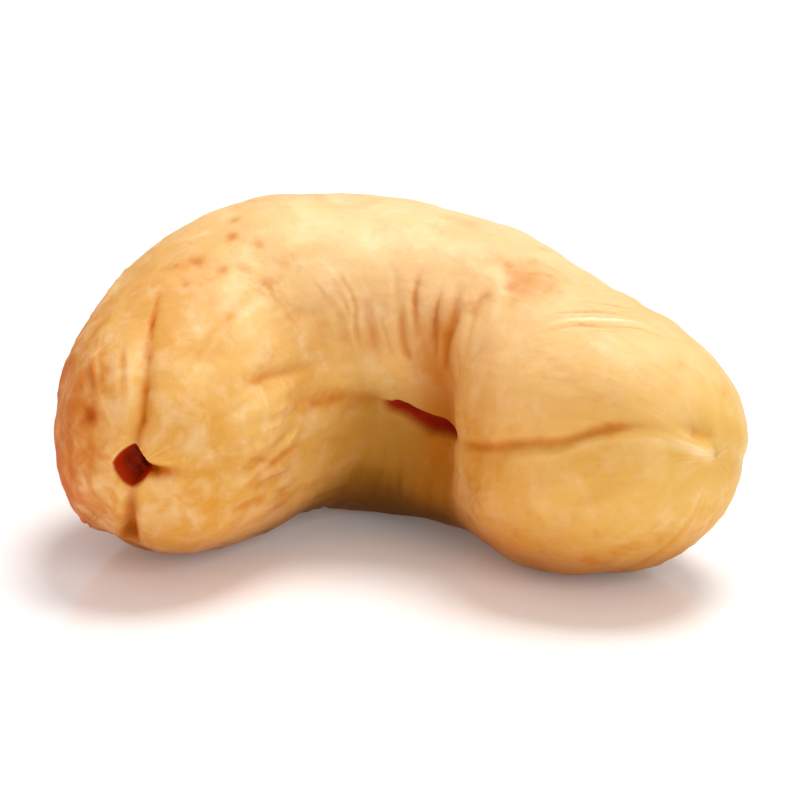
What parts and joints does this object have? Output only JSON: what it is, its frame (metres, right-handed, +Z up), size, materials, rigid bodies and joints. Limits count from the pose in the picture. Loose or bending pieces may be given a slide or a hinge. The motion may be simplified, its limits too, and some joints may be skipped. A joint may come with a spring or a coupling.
{
  "type": "roasted cashew nut",
  "caption": "Curved whole kernel lying on its side, with a split line and slot on the inner side of the curl and a small hole in the left tip.",
  "frame": {"origin": "centre of the footprint's bounding box, on the surface the kernel lies on", "axes": "+X along the length toward the right lobe, +Y toward the back of the curl, +Z up"},
  "size_m": [0.0252, 0.0168, 0.0122],
  "materials": {
    "kernel_flesh": "satin roasted nut flesh, pale cream to toasted gold"
  },
  "bodies": {
    "root": {"kernel": "kernel_flesh"}
  },
  "joints": []
}
